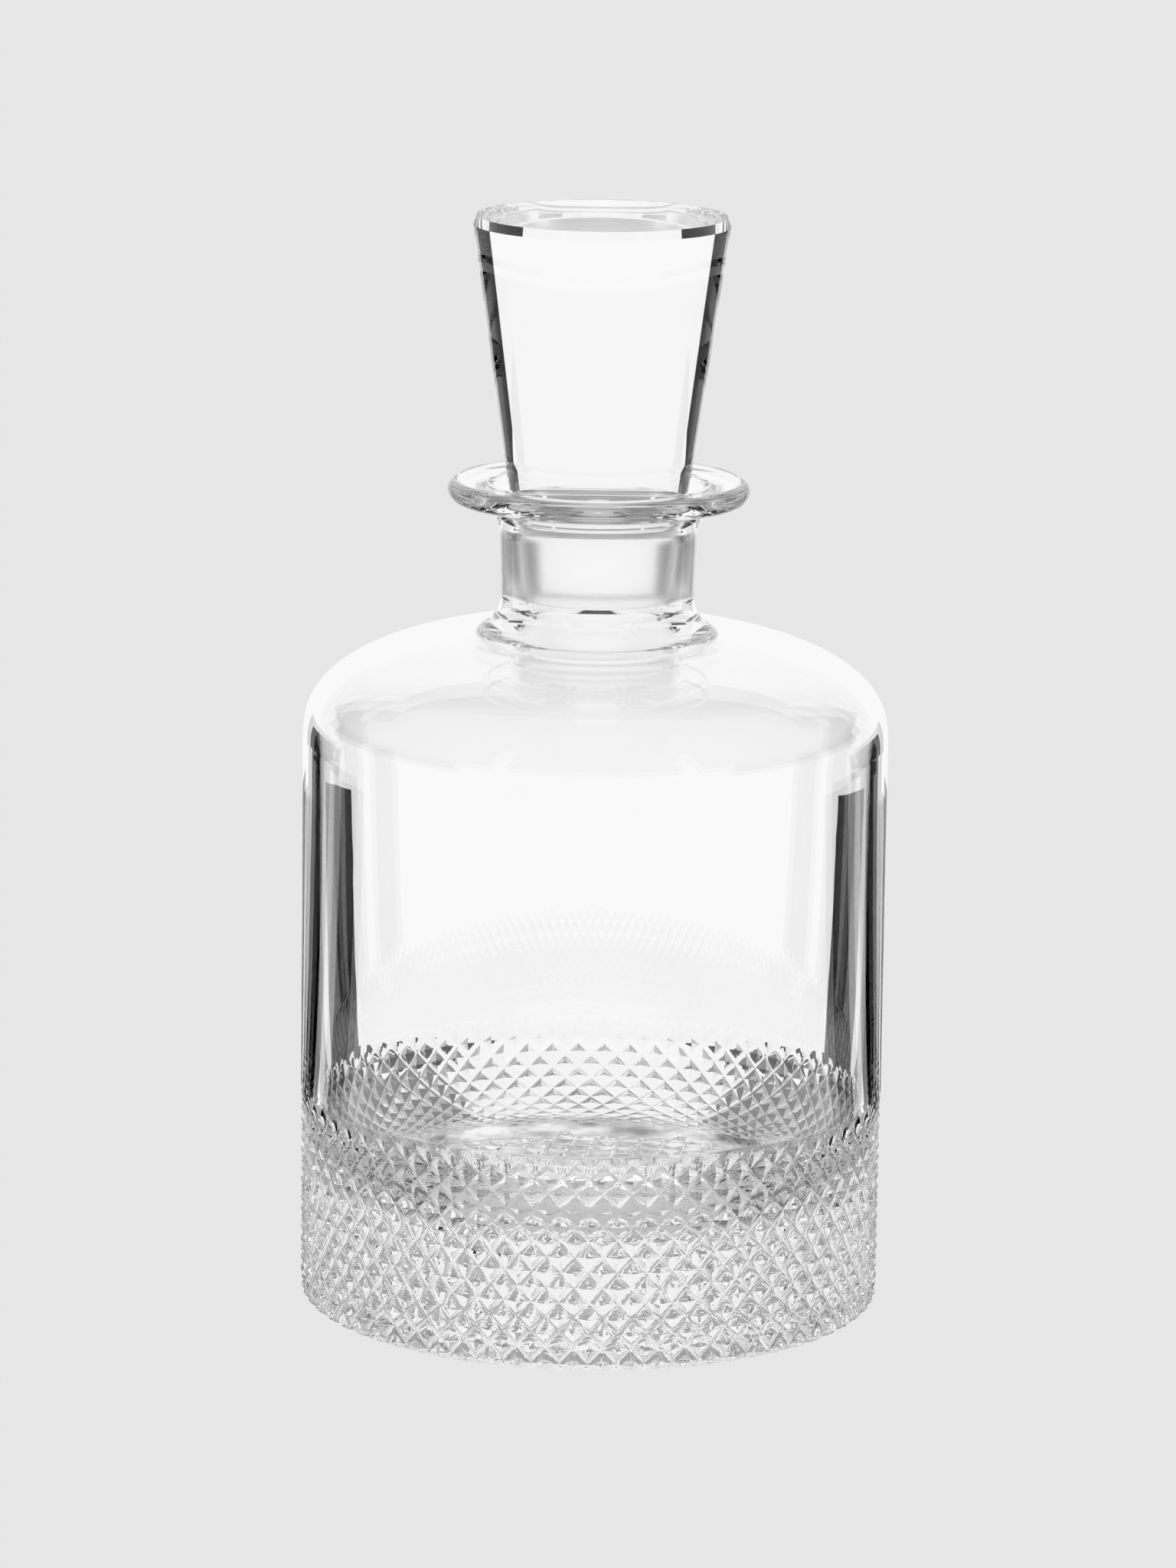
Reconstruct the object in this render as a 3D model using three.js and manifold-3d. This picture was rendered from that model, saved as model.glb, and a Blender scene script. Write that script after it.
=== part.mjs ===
// A stoppered crystal wine decanter: a heavy-based bottle with a band of diamond cutting round
// its foot, and a solid tapered stopper with a ground plug that sits in the neck.
// Millimetres, +Z up, origin at the middle of the underside.

import * as THREE from 'three';
import { mergeVertices } from 'three/addons/utils/BufferGeometryUtils.js';
import Module from 'manifold-3d';

const wasm = await Module();
wasm.setup();

// ---- driving dimensions -------------------------------------------------------------------

const DEGREE = Math.PI / 180;
const FRONT = -90 * DEGREE;          // azimuth of the decanter's front, towards -Y
const FIT_GAP = 0.3;                 // air between the plug and the neck that it is ground into
const smoothSegments = 48;           // round the plain turned surfaces
const shoulderSteps = 6;             // along the shoulder, from wall to neck
const arcSteps = 4;                  // along each of the smaller roundings

const body = {
  radius: 60,                        // outside of the cylindrical wall
  wall: 3.6,                         // thickness of that wall
  shoulderStart: 117.6,              // height where the wall begins to turn in
  shoulderRise: 24.6,
  shoulderWidthPower: 2.19,          // the shoulder is a superellipse with these two powers
  shoulderHeightPower: 2.69,
  shoulderThickness: 4.6,
};

const foot = {
  edgeHeight: 3,                     // height of the rounding under the cut band
  edgeInset: 2.8,                    // how far that rounding comes in
  floorHeight: 25.6,                 // thickness of glass at the middle of the floor
  floorRadius: 40,
  floorRise: 0.6,                    // the floor is dished by this much
};

const band = {
  diamonds: 65,                      // in one row, all the way round
  rows: 13,                          // half-diamond steps from the lowest row to the highest
  lowest: 1.8,
  rowHeight: 3.2,                    // half of a diamond's height
  depth: 1.3,                        // of the grooves between the diamonds
  runOutDepth: 0.45,                 // of the last crossings, where the grooves come out
  runOutHeight: 0.8,
};

const underCut = {
  radius: 50,                        // the grid of grooves on the underside ends here
  pitch: 4.9,
  depth: 1.5,
  recess: 0.2,                       // the points of the grid stand this far off the table
  turn: -8.5 * DEGREE,
};

const neck = {
  radius: 19.75,
  topRadius: 20.3,
  filletRadius: 7,                   // between shoulder and neck
  filletEndSlope: 8 * DEGREE,
};

const collar = {
  radius: 30.8,
  height: 169.6,                     // of the middle of the lip
  thickness: 4.4,
  flareRadius: 6.8,                  // from the neck out to the underside of the lip
  dishRadius: 21.5,                  // the top dips towards the mouth, to this radius
  dishDrop: 0.9,
};

const plug = {
  bottom: 147.4,
  bottomRadius: 14.3,
  top: 168.6,
  topRadius: 17,
  chamfer: 0.5,
};

const mouth = {
  flareStart: 162.6,                 // the ground bore ends here and rolls outwards
  flareRadius: 8.5,
  flareEnd: 75 * DEGREE,
  throatHeight: 144.9,               // below the plug the bore rolls into the shoulder
  throatRadius: 8,
};

const head = {
  bottom: 170.2,
  bottomRadius: 18.5,
  edgeRadius: 0.6,
  bevelHeight: 223.9,
  bevelRadius: 26.15,
  top: 225.7,
  topRadius: 25.4,
};

// ---- helpers ------------------------------------------------------------------------------

const point = (radius, height) => new THREE.Vector2(radius, height);

// Points of a circular arc in the profile plane, ends included.
function arc(centreRadius, centreHeight, radius, from, to) {
  const points = [];
  for (let step = 0; step <= arcSteps; step += 1) {
    const angle = from + ((to - from) * step) / arcSteps;
    points.push(point(centreRadius + radius * Math.cos(angle), centreHeight + radius * Math.sin(angle)));
  }
  return points;
}

// Points of a superellipse quarter, from its widest point up to where it has shrunk to endRadius.
function shoulderCurve(radius, rise, endRadius) {
  const end = Math.acos((endRadius / radius) ** (body.shoulderWidthPower / 2));
  const points = [];
  for (let step = 0; step <= shoulderSteps; step += 1) {
    const angle = (end * step) / shoulderSteps;
    points.push(point(
      radius * Math.cos(angle) ** (2 / body.shoulderWidthPower),
      body.shoulderStart + rise * Math.sin(angle) ** (2 / body.shoulderHeightPower),
    ));
  }
  return points;
}

function toManifold(geometry) {
  const bare = geometry.clone();
  bare.deleteAttribute('normal');
  bare.deleteAttribute('uv');
  const merged = mergeVertices(bare, 1e-4);
  const corners = Array.from(merged.index.array);
  const kept = [];
  for (let i = 0; i < corners.length; i += 3) {
    const [a, b, c] = corners.slice(i, i + 3);
    if (a !== b && b !== c && c !== a) kept.push(a, b, c);
  }
  return new wasm.Manifold(new wasm.Mesh({
    numProp: 3,
    vertProperties: new Float32Array(merged.attributes.position.array),
    triVerts: new Uint32Array(kept),
  }));
}

function toGeometry(manifold) {
  const mesh = manifold.getMesh();
  const geometry = new THREE.BufferGeometry();
  geometry.setAttribute('position', new THREE.BufferAttribute(mesh.vertProperties, 3));
  geometry.setIndex(new THREE.BufferAttribute(mesh.triVerts, 1));
  geometry.computeVertexNormals();
  return geometry;
}

// A solid of revolution about the Z axis. The profile starts and ends on the axis, bottom first.
function turned(profile, segments) {
  return new THREE.LatheGeometry(profile, segments).rotateX(Math.PI / 2);
}

// ---- outside of the decanter --------------------------------------------------------------

const columnAngle = Math.PI / band.diamonds;

// A ring of points round the axis. The front of the decanter is at the second column.
function ring(count, height, radiusAt) {
  const step = (2 * Math.PI) / count;
  const points = [];
  for (let column = 0; column < count; column += 1) {
    const angle = FRONT - columnAngle + column * step;
    const radius = radiusAt(column);
    points.push(new THREE.Vector3(radius * Math.cos(angle), radius * Math.sin(angle), height));
  }
  return points;
}

function wallRadius(height) {
  if (height >= foot.edgeHeight) return body.radius;
  const drop = (foot.edgeHeight - height) / foot.edgeHeight;
  return body.radius - foot.edgeInset * (1 - Math.sqrt(1 - drop * drop));
}

// In every row, points of diamonds alternate with crossings of grooves.
function bandRing(row, height, depth) {
  const radius = wallRadius(height);
  const isCrossing = (column) => (column + row - band.rows) % 2 === 0;
  return ring(2 * band.diamonds, height, (column) => (isCrossing(column) ? radius - depth : radius));
}

function bandRings() {
  const rings = [bandRing(-1, 0, band.depth)];
  for (let row = 0; row <= band.rows; row += 1) {
    const depth = row < band.rows ? band.depth : band.runOutDepth;
    rings.push(bandRing(row, band.lowest + row * band.rowHeight, depth));
  }
  return rings;
}

// Above the band the outside is plain, with half as many columns.
function plainProfile() {
  const bandTop = band.lowest + band.rows * band.rowHeight + band.runOutHeight;
  const filletCentre = neck.radius + neck.filletRadius;
  const shoulderEnd = filletCentre - neck.filletRadius * Math.sin(neck.filletEndSlope);
  const shoulder = shoulderCurve(body.radius, body.shoulderRise, shoulderEnd);
  const shoulderTop = shoulder[shoulder.length - 1].y;
  const filletHeight = shoulderTop + neck.filletRadius * Math.cos(neck.filletEndSlope);
  const lipRadius = collar.thickness / 2;
  const flareHeight = collar.height - lipRadius - collar.flareRadius;
  return [
    point(body.radius, bandTop),
    ...shoulder,
    ...arc(filletCentre, filletHeight, neck.filletRadius,
      270 * DEGREE - neck.filletEndSlope, 180 * DEGREE).slice(1),
    ...arc(neck.topRadius + collar.flareRadius, flareHeight, collar.flareRadius,
      180 * DEGREE, 90 * DEGREE),
    ...arc(collar.radius - lipRadius, collar.height, lipRadius, -90 * DEGREE, 90 * DEGREE),
    point(collar.dishRadius, collar.height + lipRadius - collar.dishDrop),
  ];
}

function outsideGeometry() {
  const plain = plainProfile();
  const rings = [
    ...bandRings(),
    ...plain.map(({ x, y }) => ring(band.diamonds, y, () => x)),
  ];
  const positions = [];
  const corner = (p) => positions.push(p.x, p.y, p.z);
  const triangle = (a, b, c) => [a, b, c].forEach(corner);
  const radiusOf = (p) => Math.hypot(p.x, p.y);

  // Each four-cornered cell folds along the diagonal that lies nearer the axis, which is the
  // groove that runs through it.
  function cell(a, b, c, d) {
    if (radiusOf(b) + radiusOf(c) < radiusOf(a) + radiusOf(d)) {
      triangle(a, b, c);
      triangle(b, d, c);
    } else {
      triangle(a, b, d);
      triangle(a, d, c);
    }
  }

  for (let level = 0; level + 1 < rings.length; level += 1) {
    const low = rings[level];
    const high = rings[level + 1];
    for (let column = 0; column < high.length; column += 1) {
      const next = (column + 1) % high.length;
      if (low.length === high.length) {
        cell(low[column], low[next], high[column], high[next]);
      } else {
        const middle = low[2 * column + 1];
        triangle(low[2 * column], middle, high[column]);
        triangle(middle, high[next], high[column]);
        triangle(middle, low[2 * next], high[next]);
      }
    }
  }

  const bottom = rings[0];
  const top = rings[rings.length - 1];
  const bottomCentre = new THREE.Vector3(0, 0, bottom[0].z);
  const topCentre = new THREE.Vector3(0, 0, top[0].z);
  bottom.forEach((p, i) => triangle(bottom[(i + 1) % bottom.length], p, bottomCentre));
  top.forEach((p, i) => triangle(p, top[(i + 1) % top.length], topCentre));

  const geometry = new THREE.BufferGeometry();
  geometry.setAttribute('position', new THREE.Float32BufferAttribute(positions, 3));
  return geometry;
}

// ---- inside of the decanter ---------------------------------------------------------------

// Radius of the ground bore that receives the plug.
function boreRadius(height) {
  const along = (height - plug.bottom) / (plug.top - plug.bottom);
  return plug.bottomRadius + along * (plug.topRadius - plug.bottomRadius) + FIT_GAP;
}

function cavityProfile() {
  const radius = body.radius - body.wall;
  const corner = radius - foot.floorRadius;
  const floorEdge = foot.floorHeight + foot.floorRise;
  const throatBore = boreRadius(mouth.throatHeight);
  const throatCentre = throatBore + mouth.throatRadius;
  const shoulderRise = body.shoulderRise - body.shoulderThickness;
  const shoulder = shoulderCurve(radius, shoulderRise, throatCentre);
  const flareBore = boreRadius(mouth.flareStart);
  const flare = arc(flareBore + mouth.flareRadius, mouth.flareStart, mouth.flareRadius,
    180 * DEGREE, 180 * DEGREE - mouth.flareEnd);
  const rim = flare[flare.length - 1];
  const above = collar.height + 2 * collar.thickness;
  return [
    point(0, foot.floorHeight),
    point(foot.floorRadius / 2, foot.floorHeight + foot.floorRise / 4),
    ...arc(foot.floorRadius, floorEdge + corner, corner, -90 * DEGREE, 0),
    ...shoulder,
    ...arc(throatCentre, mouth.throatHeight, mouth.throatRadius, 270 * DEGREE, 180 * DEGREE).slice(1),
    ...flare,
    point(rim.x, above),
    point(0, above),
  ];
}

// ---- cut underside ------------------------------------------------------------------------

// Two sets of V grooves at right angles leave a square grid of pyramids, points down. This is the
// space under them: a slab whose top is pitted by the pyramids, kept inside a circle.
function underCutManifold() {
  const half = Math.ceil(underCut.radius / underCut.pitch);
  const grooveTop = underCut.recess + underCut.depth;
  const positions = [];
  const triangle = (...corners) => corners.forEach((p) => positions.push(...p));
  for (let i = -half; i < half; i += 1) {
    for (let j = -half; j < half; j += 1) {
      const [left, right] = [i, i + 1].map((step) => step * underCut.pitch);
      const [near, far] = [j, j + 1].map((step) => step * underCut.pitch);
      const corners = [[left, near], [right, near], [right, far], [left, far]];
      const tip = [(left + right) / 2, (near + far) / 2, underCut.recess];
      corners.forEach((from, side) => {
        const to = corners[(side + 1) % 4];
        triangle([...from, grooveTop], [...to, grooveTop], tip);
      });
    }
  }
  const edge = half * underCut.pitch;
  const below = -underCut.depth;
  const rim = [];
  for (const [dx, dy] of [[1, 0], [0, 1], [-1, 0], [0, -1]]) {
    const start = [dy - dx, -dx - dy].map((side) => side * edge);
    for (let step = 0; step < 2 * half; step += 1) {
      rim.push([start[0] + dx * step * underCut.pitch, start[1] + dy * step * underCut.pitch]);
    }
  }
  rim.forEach((from, index) => {
    const to = rim[(index + 1) % rim.length];
    triangle([...from, grooveTop], [...from, below], [...to, below]);
    triangle([...from, grooveTop], [...to, below], [...to, grooveTop]);
    triangle([...to, below], [...from, below], [0, 0, below]);
  });
  const slab = new THREE.BufferGeometry();
  slab.setAttribute('position', new THREE.Float32BufferAttribute(positions, 3));
  const discHeight = 4 * grooveTop;
  const disc = new THREE.CylinderGeometry(underCut.radius, underCut.radius, discHeight, smoothSegments);
  return toManifold(slab.rotateZ(underCut.turn)).intersect(toManifold(disc.rotateX(Math.PI / 2)));
}

// ---- stopper ------------------------------------------------------------------------------

function stopperProfile() {
  const edge = head.edgeRadius;
  return [
    point(0, plug.bottom),
    point(plug.bottomRadius - plug.chamfer, plug.bottom),
    point(plug.bottomRadius, plug.bottom + plug.chamfer),
    point(plug.topRadius, plug.top),
    ...arc(head.bottomRadius - edge, head.bottom, edge, -90 * DEGREE, 0),
    point(head.bevelRadius, head.bevelHeight),
    point(head.topRadius, head.top),
    point(0, head.top),
  ];
}

// ---- assembly -----------------------------------------------------------------------------

const crystal = () => new THREE.MeshStandardMaterial({
  color: 0xf4f6f7,
  roughness: 0.02,
  metalness: 0,
  transparent: true,
  opacity: 0.35,
});

function decanterBody() {
  const outside = toManifold(outsideGeometry());
  const cavity = toManifold(turned(cavityProfile(), smoothSegments));
  const glass = outside.subtract(cavity).subtract(underCutManifold());
  const mesh = new THREE.Mesh(toGeometry(glass), crystal());
  mesh.name = 'decanter_body';
  return mesh;
}

function stopper() {
  const glass = toManifold(turned(stopperProfile(), smoothSegments));
  const mesh = new THREE.Mesh(toGeometry(glass), crystal());
  mesh.name = 'stopper';
  return mesh;
}

const decanter = new THREE.Group();
decanter.name = 'wine_decanter';
decanter.add(decanterBody(), stopper());

export default decanter;
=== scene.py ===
"""Looks for a cut-crystal wine decanter with a ground glass stopper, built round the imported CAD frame.

Two glass pieces stand for the two CAD nodes, turned and cut to the same sizes with finer surfaces:
the decanter, with its diamond-cut foot and grid-cut underside, and the stopper with its ground plug.
Profiles are written in millimetres and turned into metres as the vertices are made.
"""
import math

import bmesh
import bpy
from mathutils import Euler, Matrix, Vector, noise
from mathutils.geometry import delaunay_2d_cdt


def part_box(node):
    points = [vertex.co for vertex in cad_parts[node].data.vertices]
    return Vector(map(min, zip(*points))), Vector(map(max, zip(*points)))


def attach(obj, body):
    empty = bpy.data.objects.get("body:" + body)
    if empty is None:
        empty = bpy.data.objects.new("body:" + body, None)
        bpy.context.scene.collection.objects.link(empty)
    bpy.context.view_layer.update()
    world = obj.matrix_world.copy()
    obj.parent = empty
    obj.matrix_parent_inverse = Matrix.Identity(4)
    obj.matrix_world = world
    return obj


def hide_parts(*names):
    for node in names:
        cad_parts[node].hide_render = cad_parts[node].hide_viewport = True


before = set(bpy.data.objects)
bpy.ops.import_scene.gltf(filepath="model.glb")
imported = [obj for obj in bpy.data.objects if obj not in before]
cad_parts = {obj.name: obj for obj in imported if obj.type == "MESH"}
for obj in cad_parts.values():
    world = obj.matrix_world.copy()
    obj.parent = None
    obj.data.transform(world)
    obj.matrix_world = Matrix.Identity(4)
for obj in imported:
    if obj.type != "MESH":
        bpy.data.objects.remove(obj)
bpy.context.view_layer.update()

MM = 0.001
DEGREE = math.pi / 180
FRONT = -90 * DEGREE

# ---- sizes, from the frame where it has them -----------------------------------------------

body_low, body_high = [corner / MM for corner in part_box("decanter_body")]
stopper_low, stopper_high = [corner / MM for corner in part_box("stopper")]

BODY_RADIUS = body_high.y
WALL = 3.6
SHOULDER_START = 117.6
SHOULDER_RISE = 24.6
SHOULDER_WIDTH_POWER = 2.19
SHOULDER_HEIGHT_POWER = 2.69
SHOULDER_THICKNESS = 4.6

EDGE_HEIGHT = 3.0
EDGE_INSET = 2.8
FLOOR_HEIGHT = 25.6
FLOOR_RADIUS = 40.0
FLOOR_RISE = 0.6

DIAMONDS = 65
BAND_ROWS = 13
BAND_LOWEST = 1.8
ROW_HEIGHT = 3.2
GROOVE_DEPTH = 1.3
CUT_STEPS = 4
GROOVE_ROUNDING = 1 / CUT_STEPS
RUN_OUT_TOP = 0.5        # rows above the top row where the grooves end
RUN_OUT_ROWS = 1.5       # rows over which they run out
PLAIN_EDGE = 0.35
FOOT_RING = 0.25         # height of the plain ring between the band and the underside
LOWEST_CUT = 0.5         # height of the lowest ring that may be cut

HAND_SCALE = 0.13        # the cutting wanders slowly from cell to cell, as by hand,
HAND_SWAY = 0.10         # by this many columns sideways
HAND_LIFT = 0.25         # and this many millimetres up or down
HAND_FADE_ROWS = 2       # but not at the band's top
HAND_FADE_HEIGHT = 6     # or close to the table
SWAY_SEED = 3.0
LIFT_SEED = 9.0

GRID_RADIUS = 50.0
GRID_PITCH = 4.9
GRID_DEPTH = 1.5
GRID_RECESS = 0.2
GRID_TURN = -8.5 * DEGREE
GRID_FADE = 2.5
GRID_LIP = 0.24          # half the width of a groove's rounded bottom, in half pitches
GRID_LINE_GAP = 0.3      # the mesh lines stop this short of the grid's circle

NECK_RADIUS = 19.75
NECK_TOP_RADIUS = 20.3
NECK_FILLET = 7.0
FILLET_END_SLOPE = 8 * DEGREE

COLLAR_RADIUS = 30.8
COLLAR_THICKNESS = 4.4
COLLAR_HEIGHT = body_high.z - COLLAR_THICKNESS / 2
COLLAR_FLARE = 6.8
DISH_RADIUS = 21.5
DISH_DROP = 0.9

PLUG_BOTTOM = stopper_low.z
PLUG_BOTTOM_RADIUS = 14.3
PLUG_TOP = 168.6
PLUG_TOP_RADIUS = 17.0
PLUG_CHAMFER = 0.5
GROUND_TOP = 162.0
FIT_GAP = 0.3

MOUTH_START = 162.6
MOUTH_FLARE = 8.5
MOUTH_END = 75 * DEGREE
THROAT_HEIGHT = 144.9
THROAT_ROUNDING = 8.0

HEAD_BOTTOM = 170.2
HEAD_BOTTOM_RADIUS = 18.5
HEAD_EDGE = 0.6
BEVEL_HEIGHT = 223.9
BEVEL_RADIUS = 26.15
HEAD_TOP = stopper_high.z
HEAD_TOP_RADIUS = 25.4

COLUMN = math.pi / DIAMONDS
FINE = 2 * DIAMONDS * CUT_STEPS
SMOOTH = FINE // 2


# ---- profile helpers -----------------------------------------------------------------------

def arc(centre_radius, centre_height, radius, start, end, steps):
    """Points of a circular arc in the profile plane, ends included."""
    angles = [start + (end - start) * step / steps for step in range(steps + 1)]
    return [
        (centre_radius + radius * math.cos(angle), centre_height + radius * math.sin(angle))
        for angle in angles
    ]


def straight(start, end, steps):
    """Points of a straight stretch, without its start."""
    return [
        tuple(a + (b - a) * step / steps for a, b in zip(start, end))
        for step in range(1, steps + 1)
    ]


def shoulder_curve(radius, rise, end_radius, steps):
    """A superellipse quarter from its widest point up to where it has shrunk to end_radius."""
    last = math.acos((end_radius / radius) ** (SHOULDER_WIDTH_POWER / 2))
    points = []
    for step in range(steps + 1):
        angle = last * step / steps
        points.append((
            radius * math.cos(angle) ** (2 / SHOULDER_WIDTH_POWER),
            SHOULDER_START + rise * math.sin(angle) ** (2 / SHOULDER_HEIGHT_POWER),
        ))
    return points


def bore_radius(height):
    """Radius of the ground bore that takes the plug."""
    along = (height - PLUG_BOTTOM) / (PLUG_TOP - PLUG_BOTTOM)
    return PLUG_BOTTOM_RADIUS + along * (PLUG_TOP_RADIUS - PLUG_BOTTOM_RADIUS) + FIT_GAP


def wall_radius(height):
    """Outside radius of the uncut wall, rounded in at the very bottom."""
    if height >= EDGE_HEIGHT:
        return BODY_RADIUS
    drop = (EDGE_HEIGHT - height) / EDGE_HEIGHT
    return BODY_RADIUS - EDGE_INSET * (1 - math.sqrt(1 - drop * drop))


def outside_profile():
    """The plain outside above the cut band, up over the collar to the mouth.

    A narrow first ring keeps the facets' shading out of the plain wall.
    """
    wall_foot = BAND_LOWEST + (BAND_ROWS + RUN_OUT_TOP) * ROW_HEIGHT + PLAIN_EDGE
    centre = NECK_RADIUS + NECK_FILLET
    shoulder_end = centre - NECK_FILLET * math.sin(FILLET_END_SLOPE)
    shoulder = shoulder_curve(BODY_RADIUS, SHOULDER_RISE, shoulder_end, steps=26)
    fillet_height = shoulder[-1][1] + NECK_FILLET * math.cos(FILLET_END_SLOPE)
    lip = COLLAR_THICKNESS / 2
    flare_height = COLLAR_HEIGHT - lip - COLLAR_FLARE
    fillet_start = 270 * DEGREE - FILLET_END_SLOPE
    flare_centre = NECK_TOP_RADIUS + COLLAR_FLARE
    fillet = arc(centre, fillet_height, NECK_FILLET, fillet_start, 180 * DEGREE, steps=10)
    flare = arc(flare_centre, flare_height, COLLAR_FLARE, 180 * DEGREE, 90 * DEGREE, steps=10)
    rim = arc(COLLAR_RADIUS - lip, COLLAR_HEIGHT, lip, -90 * DEGREE, 90 * DEGREE, steps=14)
    dish = (DISH_RADIUS, COLLAR_HEIGHT + lip - DISH_DROP)
    return [
        (BODY_RADIUS, wall_foot),
        *straight((BODY_RADIUS, wall_foot), shoulder[0], steps=8),
        *shoulder[1:],
        *fillet[1:],
        *straight(fillet[-1], flare[0], steps=4),
        *flare[1:],
        *rim,
        *straight(rim[-1], dish, steps=3),
    ]


def inside_profile():
    """From the mouth down the bore, over the shoulder and wall, to the middle of the floor."""
    radius = BODY_RADIUS - WALL
    corner = radius - FLOOR_RADIUS
    flare_centre = bore_radius(MOUTH_START) + MOUTH_FLARE
    flare_end = 180 * DEGREE - MOUTH_END
    flare = arc(flare_centre, MOUTH_START, MOUTH_FLARE, flare_end, 180 * DEGREE, steps=10)
    throat_centre = bore_radius(THROAT_HEIGHT) + THROAT_ROUNDING
    throat = arc(throat_centre, THROAT_HEIGHT, THROAT_ROUNDING, 180 * DEGREE, 270 * DEGREE, steps=10)
    shoulder_rise = SHOULDER_RISE - SHOULDER_THICKNESS
    shoulder = shoulder_curve(radius, shoulder_rise, throat_centre, steps=24)[::-1]
    bend_height = FLOOR_HEIGHT + FLOOR_RISE + corner
    bend = arc(FLOOR_RADIUS, bend_height, corner, 0, -90 * DEGREE, steps=20)
    floor = []
    floor_rings = 8
    for step in range(1, floor_rings):
        out = 1 - step / floor_rings
        floor.append((FLOOR_RADIUS * out, FLOOR_HEIGHT + FLOOR_RISE * out * out))
    return [
        *flare,
        *straight(flare[-1], throat[0], steps=6),
        *throat[1:],
        *shoulder[1:],
        *straight(shoulder[-1], bend[0], steps=6),
        *bend[1:],
        *floor,
    ]


# ---- mesh building -------------------------------------------------------------------------

class Skin:
    """Collects vertices in millimetres and faces, ring by ring."""

    def __init__(self):
        self.mesh = bmesh.new()

    def vertex(self, x, y, z):
        return self.mesh.verts.new((x * MM, y * MM, z * MM))

    def ring(self, count, height, radius_at):
        """A ring of vertices. The front of the object is at column 0."""
        made = []
        for column in range(count):
            angle = FRONT + 2 * math.pi * column / count
            radius = radius_at(angle)
            made.append(self.vertex(radius * math.cos(angle), radius * math.sin(angle), height))
        return made

    def turned(self, profile, count):
        return [self.ring(count, height, lambda _, r=radius: r) for radius, height in profile]

    def face(self, *corners):
        self.mesh.faces.new(corners)

    def stitch(self, low, high):
        """Joins two rings. One of them may have half as many vertices as the other."""
        if len(low) == len(high):
            for i in range(len(low)):
                j = (i + 1) % len(low)
                self.face(low[i], low[j], high[j], high[i])
            return
        fine, coarse = (low, high) if len(low) > len(high) else (high, low)
        for i in range(len(coarse)):
            j = (i + 1) % len(coarse)
            middle = fine[2 * i + 1]
            self.face(fine[2 * i], middle, coarse[i])
            self.face(middle, coarse[j], coarse[i])
            self.face(middle, fine[(2 * i + 2) % len(fine)], coarse[j])

    def stitch_all(self, rings):
        for low, high in zip(rings, rings[1:]):
            self.stitch(low, high)

    def fan(self, ring, x, y, z):
        centre = self.vertex(x, y, z)
        for i, corner in enumerate(ring):
            self.face(corner, ring[(i + 1) % len(ring)], centre)

    def finish(self, name, sharp_angle):
        bmesh.ops.recalc_face_normals(self.mesh, faces=self.mesh.faces)
        for face in self.mesh.faces:
            face.smooth = True
        for edge in self.mesh.edges:
            if len(edge.link_faces) == 2 and edge.calc_face_angle(0) > sharp_angle:
                edge.smooth = False
        open_edges = sum(1 for edge in self.mesh.edges if len(edge.link_faces) != 2)
        if open_edges:
            raise RuntimeError(f"{name} has {open_edges} open edges")
        data = bpy.data.meshes.new(name)
        self.mesh.to_mesh(data)
        self.mesh.free()
        piece = bpy.data.objects.new(name, data)
        bpy.context.scene.collection.objects.link(piece)
        return piece


# ---- the diamond-cut band ------------------------------------------------------------------

def groove(distance):
    """Depth of one groove at a distance from its middle, where 1 is the point of a diamond."""
    if distance < GROOVE_ROUNDING:
        return 1 - GROOVE_ROUNDING / 2 - distance * distance / (2 * GROOVE_ROUNDING)
    return 1 - distance


def to_line(value):
    """Distance to the nearest odd number: the middle lines of the grooves."""
    return abs((value % 2) - 1)


def band_cut(u, v):
    """Depth of the cut at u columns from the front and v rows from the band's top row."""
    depth = max(groove(to_line(u + v)), groove(to_line(u - v)))
    run_out = min(1.0, max(0.0, (RUN_OUT_TOP - v) / RUN_OUT_ROWS))
    return GROOVE_DEPTH * depth * run_out


def band_rings(skin):
    """Rings of the band, from the underside's edge to just above the top row."""
    top = BAND_LOWEST + BAND_ROWS * ROW_HEIGHT
    cut_heights = []
    height = top + RUN_OUT_TOP * ROW_HEIGHT
    while height >= LOWEST_CUT:
        cut_heights.append(height)
        height = top + (RUN_OUT_TOP - len(cut_heights) / CUT_STEPS) * ROW_HEIGHT
    rings = []
    for height in [0.0, FOOT_RING, *reversed(cut_heights)]:
        v = (height - top) / ROW_HEIGHT
        made = []
        for column in range(FINE):
            u = column / CUT_STEPS
            sway = noise.noise(Vector((u * HAND_SCALE, v * HAND_SCALE, SWAY_SEED)))
            lift = noise.noise(Vector((u * HAND_SCALE, v * HAND_SCALE, LIFT_SEED)))
            keep = min(1.0, (RUN_OUT_TOP - v) / HAND_FADE_ROWS, height / HAND_FADE_HEIGHT)
            angle = FRONT + (u + HAND_SWAY * sway * keep) * COLUMN
            z = height + HAND_LIFT * lift * keep
            radius = wall_radius(z) - band_cut(u, v)
            made.append(skin.vertex(radius * math.cos(angle), radius * math.sin(angle), z))
        rings.append(made)
    return rings


def stitch_band(skin, rings):
    """Each cell folds along the diagonal nearer the axis, which is the groove through it."""
    def reach(vertex):
        return math.hypot(vertex.co.x, vertex.co.y)

    for low, high in zip(rings, rings[1:]):
        for i in range(len(low)):
            j = (i + 1) % len(low)
            if reach(low[j]) + reach(high[i]) < reach(low[i]) + reach(high[j]):
                skin.face(low[i], low[j], high[i])
                skin.face(low[j], high[j], high[i])
            else:
                skin.face(low[i], low[j], high[j])
                skin.face(low[i], high[j], high[i])


# ---- the cut underside ---------------------------------------------------------------------

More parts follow.
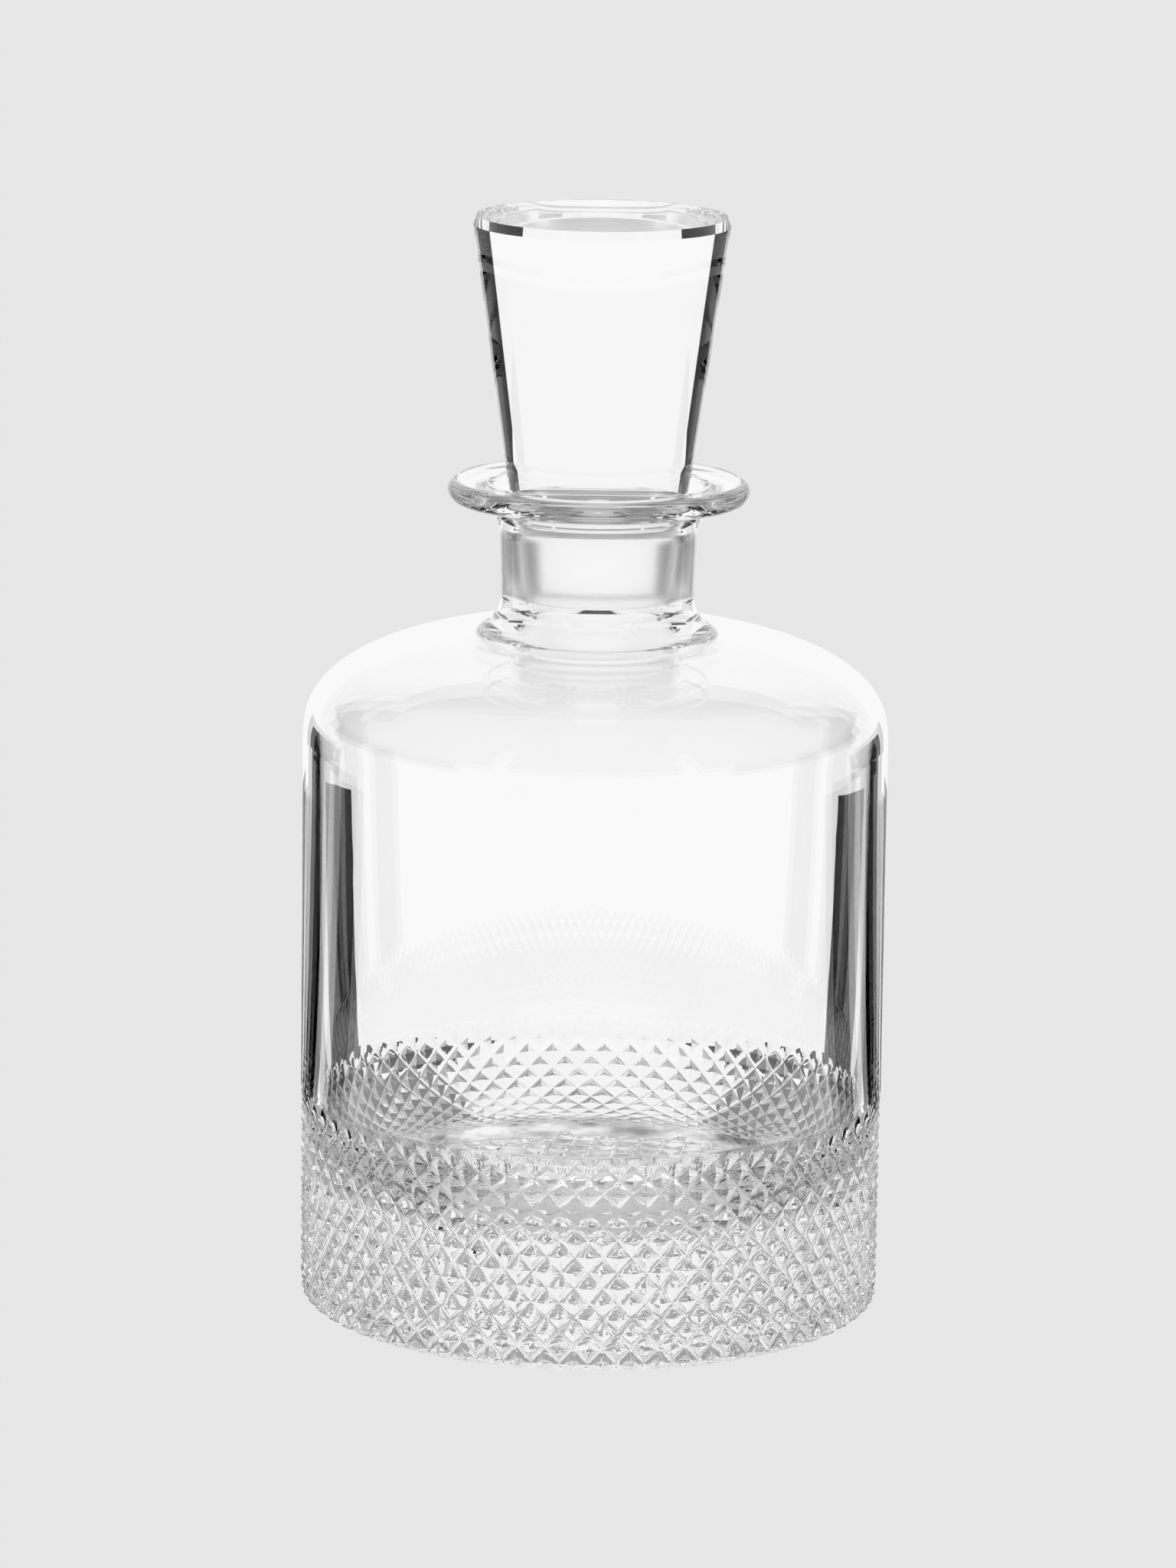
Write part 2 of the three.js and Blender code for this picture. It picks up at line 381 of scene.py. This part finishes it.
def grid_height(x, y):
    """Height of the underside above the table inside the grid, in the grid's own directions."""
    def to_groove(value):
        return abs((value / GRID_PITCH + 0.5) % 1 - 0.5) * 2

    def depth(distance):
        if distance < GRID_LIP:
            return 1 - GRID_LIP / 2 - distance * distance / (2 * GRID_LIP)
        return 1 - distance

    cut = max(depth(to_groove(x)), depth(to_groove(y)))
    fade = min(1.0, max(0.0, (GRID_RADIUS - math.hypot(x, y)) / GRID_FADE))
    return (GRID_RECESS + GRID_DEPTH * cut) * fade


def underside(skin, base_ring):
    """A square grid of grooves inside a circle, joined to the ground ring round it."""
    points = []
    edges = []

    def add_segment(start, end):
        edges.append((len(points), len(points) + 1))
        points.extend([Vector(start), Vector(end)])

    for circle in (GRID_RADIUS, GRID_RADIUS - GRID_FADE):
        first = len(points)
        for column in range(SMOOTH):
            angle = FRONT + 2 * math.pi * column / SMOOTH - GRID_TURN
            points.append(Vector((circle * math.cos(angle), circle * math.sin(angle))))
            edges.append((first + column, first + (column + 1) % SMOOTH))

    inner = GRID_RADIUS - GRID_FADE
    reach = math.ceil(GRID_RADIUS / GRID_PITCH)
    strip = GRID_LIP * GRID_PITCH / 2
    arm = GRID_PITCH / 2 - strip
    line_reach = GRID_RADIUS - GRID_LINE_GAP
    for step in range(-reach, reach + 1):
        for offset in (-strip, -strip / 3, strip / 3, strip):
            at = step * GRID_PITCH + offset
            if abs(at) < line_reach - 1:
                half = math.sqrt(line_reach ** 2 - at ** 2)
                add_segment((at, -half), (at, half))
                add_segment((-half, at), (half, at))
    for i in range(-reach, reach):
        for j in range(-reach, reach):
            centre = Vector(((i + 0.5) * GRID_PITCH, (j + 0.5) * GRID_PITCH))
            if centre.length + 1.5 * arm < inner:
                add_segment(centre + Vector((-arm, -arm)), centre + Vector((arm, arm)))
                add_segment(centre + Vector((-arm, arm)), centre + Vector((arm, -arm)))
    inside_only = 1
    merge_distance = 1e-5
    verts, _, faces, *_ = delaunay_2d_cdt(points, edges, [], inside_only, merge_distance)
    turn = Matrix.Rotation(GRID_TURN, 2)
    made = []
    for point in verts:
        x, y = turn @ point
        made.append(skin.vertex(x, y, grid_height(*point)))
    for face in faces:
        skin.face(*[made[index] for index in face])
    rim = made[:SMOOTH]
    skin.stitch(base_ring, rim)


# ---- pieces --------------------------------------------------------------------------------

def make_decanter():
    skin = Skin()
    band = band_rings(skin)
    stitch_band(skin, band)
    outside = skin.turned(outside_profile(), SMOOTH)
    inside = skin.turned(inside_profile(), SMOOTH)
    skin.stitch(band[-1], outside[0])
    skin.stitch_all(outside)
    skin.stitch(outside[-1], inside[0])
    skin.stitch_all(inside)
    skin.fan(inside[-1], 0, 0, FLOOR_HEIGHT)
    underside(skin, band[0])
    return skin.finish("cut_crystal_decanter", sharp_angle=18 * DEGREE)


def stopper_profile():
    edge = HEAD_EDGE
    chamfer_top = (PLUG_BOTTOM_RADIUS, PLUG_BOTTOM + PLUG_CHAMFER)
    plug_top = (PLUG_TOP_RADIUS, PLUG_TOP)
    edge_end = -8 * DEGREE
    bottom_edge = arc(HEAD_BOTTOM_RADIUS - edge, HEAD_BOTTOM, edge, -90 * DEGREE, edge_end, steps=8)
    bevel_low = (BEVEL_RADIUS, BEVEL_HEIGHT)
    bevel_high = (HEAD_TOP_RADIUS, HEAD_TOP)
    top_rings = 6
    return [
        (PLUG_BOTTOM_RADIUS - PLUG_CHAMFER, PLUG_BOTTOM),
        chamfer_top,
        *straight(chamfer_top, plug_top, steps=12),
        *bottom_edge,
        *straight(bottom_edge[-1], bevel_low, steps=10),
        *straight(bevel_low, bevel_high, steps=3),
        *[(HEAD_TOP_RADIUS * (1 - step / top_rings), HEAD_TOP) for step in range(1, top_rings)],
    ]


def make_stopper():
    skin = Skin()
    rings = skin.turned(stopper_profile(), SMOOTH)
    skin.stitch_all(rings)
    skin.fan(rings[0], 0, 0, PLUG_BOTTOM)
    skin.fan(rings[-1], 0, 0, HEAD_TOP)
    return skin.finish("crystal_stopper", sharp_angle=20 * DEGREE)


# ---- materials -----------------------------------------------------------------------------

CRYSTAL_IOR = 1.545
STRIAE_SCALE = 38.0
STRIAE_DETAIL = 2.0
STRIAE_STRENGTH = 0.02
POLISHED = 0.0
GROUND = 0.2


def crystal(name, roughness):
    """Clear crystal with faint striae in its surface."""
    material = bpy.data.materials.new(name)
    material.use_nodes = True
    nodes = material.node_tree.nodes
    links = material.node_tree.links
    glass = nodes["Principled BSDF"]
    glass.inputs["Base Color"].default_value = (1.0, 1.0, 1.0, 1.0)
    glass.inputs["Transmission Weight"].default_value = 1.0
    glass.inputs["IOR"].default_value = CRYSTAL_IOR
    glass.inputs["Roughness"].default_value = roughness
    place = nodes.new("ShaderNodeTexCoord")
    striae = nodes.new("ShaderNodeTexNoise")
    striae.inputs["Scale"].default_value = STRIAE_SCALE
    striae.inputs["Detail"].default_value = STRIAE_DETAIL
    bump = nodes.new("ShaderNodeBump")
    bump.inputs["Strength"].default_value = STRIAE_STRENGTH
    bump.inputs["Distance"].default_value = MM
    links.new(place.outputs["Object"], striae.inputs["Vector"])
    links.new(striae.outputs["Fac"], bump.inputs["Height"])
    links.new(bump.outputs["Normal"], glass.inputs["Normal"])
    return material


def is_ground(centre):
    """True on the satin faces where the plug was ground into the neck."""
    reach = math.hypot(centre.x, centre.y) / MM
    return PLUG_BOTTOM < centre.z / MM < GROUND_TOP and reach < PLUG_TOP_RADIUS


def dress(piece, body, node):
    """Gives a piece its crystal, clear or ground, ties it to its body and hides the part of its CAD
    node.
    """
    piece.data.materials.append(clear)
    piece.data.materials.append(ground)
    for face in piece.data.polygons:
        face.material_index = int(is_ground(face.center))
    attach(piece, body)
    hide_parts(node)


# ---- stage ---------------------------------------------------------------------------------

# Brightness of the floor and the room, as the camera and the glass see them.
PAGE_GREY = 0.797
WHITE = 0.95
BLACK = 0.0

# Papers lie on the floor in rings round the decanter, given by their edges' radii in metres. The rings
# under and near the foot are painted shadow and painted light on the floor.
FLOOR_Z = -0.0002
FLOOR_HALF_SIZE = 12
PAPER_Z = -0.0001
MIDDLE = 0.001
HALF_FOOT = 0.032
FOOT = 0.066
NEAR = 0.16
AWAY = 0.62
FAR = 6.0

# Flags stand upright in a ring, and the roof is a disc over them.
FLAG_RADIUS = 1.2
FLAG_LOW = 0.26
FLAG_MIDDLE = 0.46
FLAG_TOP = 1.4
ROOF_Z = 1.5
ROOF_MIDDLE = 0.01
ROOF_RADIUS = 1.5
SECTOR_STEP = 4

# The papers that draw the dark bands in the wall: corners on the right, in millimetres, from above.
EDGE_PAPER = [(70, 165), (94, 165), (235, 500), (132, 500)]

# Uneven light: the noise values that are darkest and brightest, and how dark the darkest is.
DAPPLE_SCALE = 70.0
DAPPLE_DETAIL = 3.0
DAPPLE_DARK = 0.36
DAPPLE_BRIGHT = 0.62
DAPPLE_FLOOR = 0.02

LENS = 161.35
SENSOR = 36
CAMERA_DISTANCE = 1.41157
CAMERA_HEIGHT = 0.4095
CAMERA_DOWN = 12.046 * DEGREE
CAMERA_TURN = 0.001
CAMERA_ROLL = 0.01317
CAMERA_SIGHT = 50

LIGHT_BOUNCES = 40
GLOSSY_BOUNCES = 24


def lit(name, camera_level, other_level):
    """A shadeless surface, plain pale grey to the camera and of another brightness to the glass."""
    material = bpy.data.materials.new(name)
    material.use_nodes = True
    nodes = material.node_tree.nodes
    links = material.node_tree.links
    nodes.clear()
    out = nodes.new("ShaderNodeOutputMaterial")
    mix = nodes.new("ShaderNodeMixShader")
    path = nodes.new("ShaderNodeLightPath")
    levels = []
    for level in (other_level, camera_level):
        emission = nodes.new("ShaderNodeEmission")
        emission.inputs["Color"].default_value = (level, level, level, 1)
        levels.append(emission)
    links.new(path.outputs["Is Camera Ray"], mix.inputs[0])
    links.new(levels[0].outputs[0], mix.inputs[1])
    links.new(levels[1].outputs[0], mix.inputs[2])
    links.new(mix.outputs[0], out.inputs["Surface"])
    return material


def make_floor():
    mesh = bmesh.new()
    bmesh.ops.create_grid(mesh, x_segments=2, y_segments=2, size=FLOOR_HALF_SIZE)
    data = bpy.data.meshes.new("floor")
    mesh.to_mesh(data)
    mesh.free()
    floor = bpy.data.objects.new("floor", data)
    floor.location.z = FLOOR_Z
    bpy.context.scene.collection.objects.link(floor)
    data.materials.append(lit("floor_paper", PAGE_GREY, WHITE))


def hide_card(name, mesh, level, with_painted_caustics=False):
    """Links a studio card that lights or darkens the glass, but that the camera doesn't see."""
    data = bpy.data.meshes.new(name)
    mesh.to_mesh(data)
    mesh.free()
    paint = lit(name + "_paint", level, level)
    if with_painted_caustics:
        paint_caustics(paint, level)
    data.materials.append(paint)
    card = bpy.data.objects.new(name, data)
    card.visible_camera = False
    bpy.context.scene.collection.objects.link(card)


def paint_caustics(material, level):
    """Stands in for the uneven light that the cut facets throw on the table under the foot."""
    nodes = material.node_tree.nodes
    links = material.node_tree.links
    place = nodes.new("ShaderNodeTexCoord")
    cells = nodes.new("ShaderNodeTexNoise")
    cells.inputs["Scale"].default_value = DAPPLE_SCALE
    cells.inputs["Detail"].default_value = DAPPLE_DETAIL
    spread = nodes.new("ShaderNodeMapRange")
    spread.inputs["From Min"].default_value = DAPPLE_DARK
    spread.inputs["From Max"].default_value = DAPPLE_BRIGHT
    spread.inputs["To Min"].default_value = DAPPLE_FLOOR
    spread.inputs["To Max"].default_value = 2 * level
    links.new(place.outputs["Object"], cells.inputs["Vector"])
    links.new(cells.outputs["Fac"], spread.inputs["Value"])
    for node in nodes:
        if node.type == "EMISSION":
            links.new(spread.outputs["Result"], node.inputs["Color"])


def make_sector(name, azimuths, inner, outer, level=BLACK, with_painted_caustics=False):
    """A strip between two arcs round the decanter, each given as a radius and a height.

    Flat on the floor it is a paper, upright it is a flag. Azimuths are in degrees from the back,
    clockwise from above.
    """
    mesh = bmesh.new()
    start, end = azimuths
    steps = math.ceil(abs(end - start) / SECTOR_STEP)
    columns = []
    for step in range(steps + 1):
        azimuth = (start + (end - start) * step / steps) * DEGREE
        columns.append([
            mesh.verts.new((radius * math.sin(azimuth), radius * math.cos(azimuth), height))
            for radius, height in (inner, outer)
        ])
    for (a, b), (c, d) in zip(columns, columns[1:]):
        mesh.faces.new((a, b, d, c))
    hide_card(name, mesh, level, with_painted_caustics)


def make_ring_paper(name, azimuths, inner, outer, level=BLACK, with_painted_caustics=False):
    """Part of a ring on the floor."""
    make_sector(name, azimuths, (inner, PAPER_Z), (outer, PAPER_Z), level, with_painted_caustics)


def make_flag(name, azimuths, low, high, level=BLACK):
    """Part of the upright ring, between two heights."""
    make_sector(name, azimuths, (FLAG_RADIUS, low), (FLAG_RADIUS, high), level)


def make_paper(name, corners):
    """A black paper on the floor, from its corners in millimetres, +Y to the back."""
    mesh = bmesh.new()
    mesh.faces.new([mesh.verts.new((x * MM, y * MM, PAPER_Z)) for x, y in corners])
    hide_card(name, mesh, BLACK)


def make_cards():
    """Dark papers and flags round a white studio, which draw the dark lines in the glass, and painted
    shadow and painted light on the floor under and round the foot.
    """
    # Painted light and shadow on the floor under and round the foot: a bright pool under the front,
    # painted caustics under the back and dark rings round it, all seen only through the glass.
    make_ring_paper("paper_under_back", (-55, 55), MIDDLE, FOOT, level=0.5, with_painted_caustics=True)
    make_ring_paper("paper_under_front", (130, 230), MIDDLE, HALF_FOOT, level=1.15)
    make_ring_paper("paper_under_front_rim", (130, 230), HALF_FOOT, FOOT, level=0.55)
    make_ring_paper("painted_shadow_near_front", (155, 205), FOOT, NEAR, level=0.15)
    make_sector("roof", (0, 360), (ROOF_MIDDLE, ROOF_Z), (ROOF_RADIUS, ROOF_Z), level=0.35)
    make_flag("flag_front", (145, 215), FLAG_MIDDLE, FLAG_TOP, level=0.4)
    for side, name in ((-1, "left"), (1, "right")):
        def both(start, end):
            return side * start, side * end

        make_paper(f"paper_edge_{name}", [(side * x, y) for x, y in EDGE_PAPER])
        # Painted shadow under and round the foot at each side, darkest at the rim and the near corners.
        make_ring_paper(f"paper_under_{name}", both(55, 130), MIDDLE, HALF_FOOT, level=0.8)
        make_ring_paper(f"paper_under_rim_{name}", both(55, 130), HALF_FOOT, FOOT, level=0.15)
        make_ring_paper(f"paper_near_back_{name}", both(24, 65), FOOT, NEAR, level=0.15)
        make_ring_paper(f"paper_near_side_{name}", both(65, 115), FOOT, NEAR, level=0.2)
        make_ring_paper(f"paper_near_corner_{name}", both(115, 155), FOOT, NEAR, level=0.05)
        make_ring_paper(f"paper_rim_{name}", both(32, 52), NEAR, AWAY)
        make_ring_paper(f"paper_side_{name}", both(62, 78), NEAR, AWAY)
        make_ring_paper(f"paper_far_{name}", both(29, 60), AWAY, FAR)
        make_flag(f"flag_head_{name}", both(51, 125), FLAG_LOW, FLAG_MIDDLE)
        make_flag(f"flag_high_{name}", both(42, 138), FLAG_MIDDLE, FLAG_TOP, level=0.3)


def make_world():
    """White all round to the glass, plain pale grey straight to the camera."""
    world = bpy.data.worlds.new("studio")
    bpy.context.scene.world = world
    world.use_nodes = True
    nodes = world.node_tree.nodes
    links = world.node_tree.links
    nodes.clear()
    out = nodes.new("ShaderNodeOutputWorld")
    path = nodes.new("ShaderNodeLightPath")
    light = nodes.new("ShaderNodeBackground")
    light.inputs["Color"].default_value = (WHITE, WHITE, WHITE, 1)
    seen = nodes.new("ShaderNodeBackground")
    seen.inputs["Color"].default_value = (PAGE_GREY, PAGE_GREY, PAGE_GREY, 1)
    mix = nodes.new("ShaderNodeMixShader")
    links.new(path.outputs["Is Camera Ray"], mix.inputs[0])
    links.new(light.outputs[0], mix.inputs[1])
    links.new(seen.outputs[0], mix.inputs[2])
    links.new(mix.outputs[0], out.inputs["Surface"])


def make_camera():
    data = bpy.data.cameras.new("camera")
    camera = bpy.data.objects.new("camera", data)
    bpy.context.scene.collection.objects.link(camera)
    data.lens = LENS
    data.sensor_width = SENSOR
    data.clip_end = CAMERA_SIGHT
    camera.location = (0, -CAMERA_DISTANCE, CAMERA_HEIGHT)
    look = Euler((90 * DEGREE - CAMERA_DOWN, 0, CAMERA_TURN)).to_matrix().to_4x4()
    roll = Matrix.Rotation(CAMERA_ROLL, 4, "Z")
    camera.matrix_world = Matrix.Translation(camera.location) @ look @ roll
    bpy.context.scene.camera = camera


def make_studio():
    scene = bpy.context.scene
    scene.view_settings.view_transform = "Standard"
    scene.cycles.max_bounces = LIGHT_BOUNCES
    scene.cycles.transmission_bounces = LIGHT_BOUNCES
    scene.cycles.glossy_bounces = GLOSSY_BOUNCES
    scene.cycles.blur_glossy = 0.0
    make_camera()
    make_floor()
    make_cards()
    make_world()


make_studio()
clear = crystal("clear_crystal", POLISHED)
ground = crystal("ground_crystal", GROUND)
dress(make_decanter(), "decanter", "decanter_body")
dress(make_stopper(), "stopper", "stopper")
